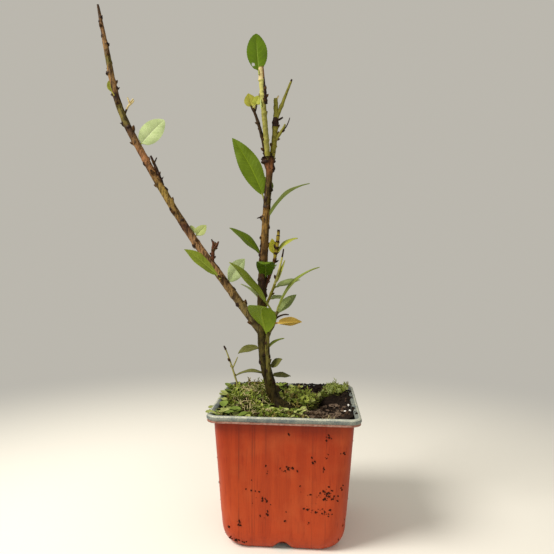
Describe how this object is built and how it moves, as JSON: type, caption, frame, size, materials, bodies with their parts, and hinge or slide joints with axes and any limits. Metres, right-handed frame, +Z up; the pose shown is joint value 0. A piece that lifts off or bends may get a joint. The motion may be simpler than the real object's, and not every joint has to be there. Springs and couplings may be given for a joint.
{
  "type": "potted holly",
  "caption": "Young evergreen holly in a square plastic nursery pot: leaning main stem, one long bare side bough, pruned head shoots, scattered oval leaves and mossy compost.",
  "frame": {"origin": "middle of the pot's flat underside, on the surface that the pot stands on", "axes": "+Z up; -Y towards the front of the plant, +X to the right as seen from the front"},
  "size_m": [0.1386, 0.07, 0.2706],
  "materials": {
    "pot_terracotta": "smooth satin moulding with fine vertical draw lines",
    "pot_grey": "the grey inner face of the two-tone sheet, dusty and satin",
    "compost": "rough moist peat crumb",
    "moss": "soft matte green moss and liverwort",
    "bark": "brown bark, fine ridges, matte to satin",
    "twig_green": "olive-brown bark of thin young twigs",
    "leaf_green": "leathery evergreen leaf, satin above and paler below",
    "leaf_pale": "pale grey-green underside of a leaf, matte",
    "leaf_young": "yellow-green young growth, satin",
    "leaf_aged": "orange-yellow ageing leaf, satin"
  },
  "bodies": {
    "root": {"pot": "pot_terracotta", "pot_rim": "pot_grey", "compost": "compost", "trunk": "bark", "left_bough": "bark", "second_stem": "bark", "moss_left": "moss", "moss_front": "moss", "moss_middle": "moss", "moss_corner": "moss", "bough_leaf_high": "leaf_pale", "bough_twig_high": "twig_green", "bough_bud_leaf": "leaf_young", "bough_leaf_pair": "leaf_pale", "bough_spur": "twig_green", "bough_spur_high": "twig_green", "bough_leaf_low": "leaf_green", "bough_leaf_back": "leaf_pale", "head_shoot_left": "leaf_young", "head_shoot_middle": "leaf_young", "head_leaf_top": "leaf_green", "head_shoot_right": "leaf_young", "trunk_leaf_tall": "leaf_green", "trunk_leaf_right": "leaf_green", "trunk_leaf_left": "leaf_green", "trunk_leaf_front": "leaf_green", "trunk_leaf_crossing": "leaf_green", "trunk_leaf_behind": "leaf_green", "trunk_leaf_back_high": "leaf_green", "trunk_leaf_back_middle": "leaf_green", "trunk_leaf_back_low": "leaf_green", "side_twig_upper": "leaf_young", "side_twig_inner": "leaf_green", "second_stem_leaf_front": "leaf_green", "second_stem_leaf_aged": "leaf_aged", "second_stem_leaf_right": "leaf_green", "second_stem_leaf_long": "leaf_green", "second_stem_stub": "twig_green", "trunk_leaf_low_left": "leaf_green", "trunk_leaf_low_right": "leaf_young", "trunk_leaf_lower_right": "leaf_green", "trunk_leaf_lowest_right": "leaf_green", "trunk_leaf_lowest_left": "leaf_green", "seedling": "twig_green"}
  },
  "joints": []
}
